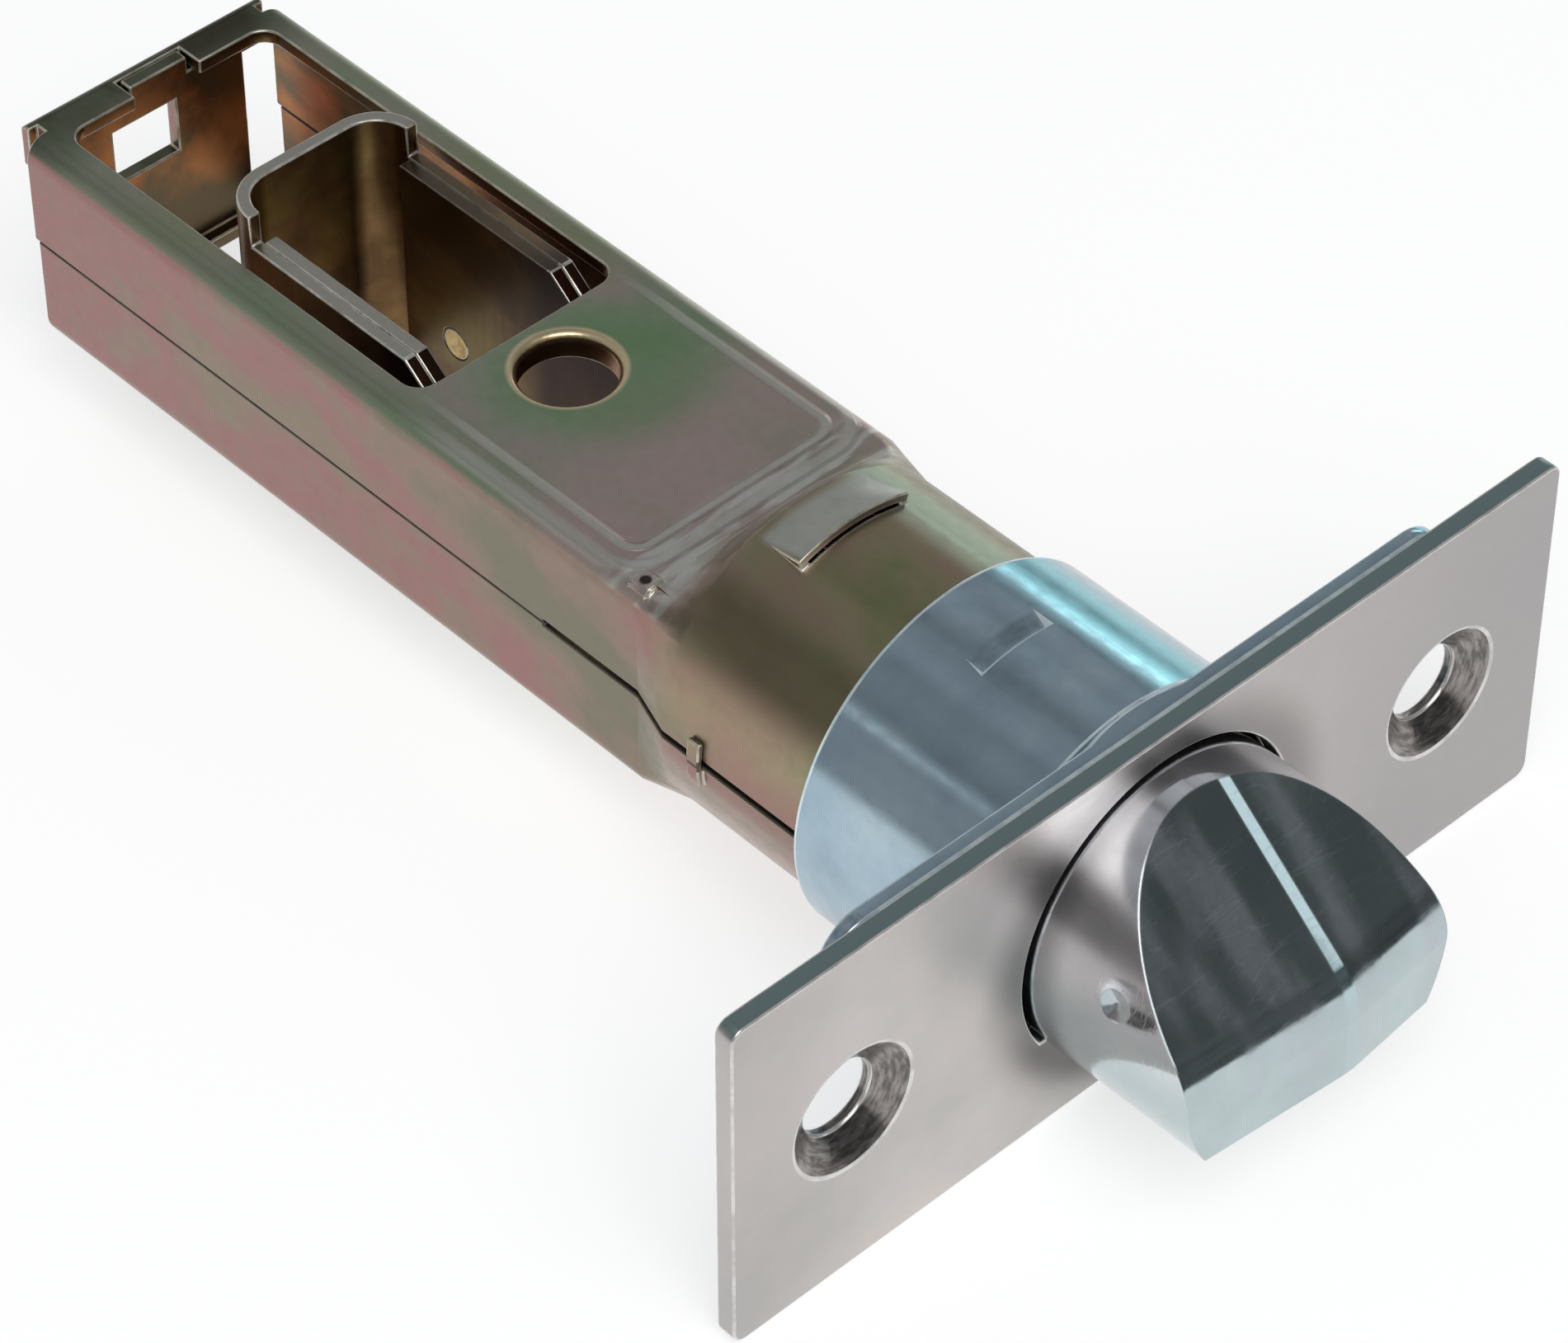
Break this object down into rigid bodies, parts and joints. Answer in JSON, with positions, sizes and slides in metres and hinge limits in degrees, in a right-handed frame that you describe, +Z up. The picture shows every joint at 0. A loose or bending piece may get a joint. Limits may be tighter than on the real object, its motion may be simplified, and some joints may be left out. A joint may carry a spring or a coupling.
{
  "type": "tubular door latch",
  "caption": "Tubular door latch: bevelled spring bolt in a two-shell pressed case with a round nose, a faceplate, a drawn collar and a yoke that a spindle cam pulls back.",
  "frame": {"origin": "on the bolt axis, in the rear face of the faceplate, midway between its two screw holes", "axes": "+X out of the door edge along the bolt, +Y along the faceplate, +Z up across its width"},
  "size_m": [0.0907, 0.057, 0.022],
  "materials": {
    "satin_nickel": "satin nickel plate",
    "blue_zinc": "blue-white zinc plate",
    "yellow_zinc": "iridescent yellow zinc passivate",
    "yoke_zinc": "worn zinc passivate with bare cut edges",
    "chrome_bolt": "polished chrome plate",
    "plain_steel": "bright steel",
    "spring_steel": "oiled spring wire"
  },
  "bodies": {
    "case": {"faceplate": "satin_nickel", "front_collar": "blue_zinc", "upper_case_shell": "yellow_zinc", "lower_case_shell": "yellow_zinc", "spring_stop_plate": "plain_steel", "bolt_spring": "spring_steel"},
    "bolt": {"latch_bolt": "chrome_bolt", "bolt_stem": "plain_steel", "drawbar": "yoke_zinc", "retractor_yoke": "yoke_zinc", "yoke_rivets": "plain_steel"}
  },
  "joints": [
    {"name": "bolt_slide", "type": "slide", "parent": "case", "child": "bolt", "axis": [1, 0, 0], "range_m": [-0.011, 0], "stiffness_N_per_m": 400, "springref_m": 0.011, "deforming": ["bolt_spring"]}
  ]
}
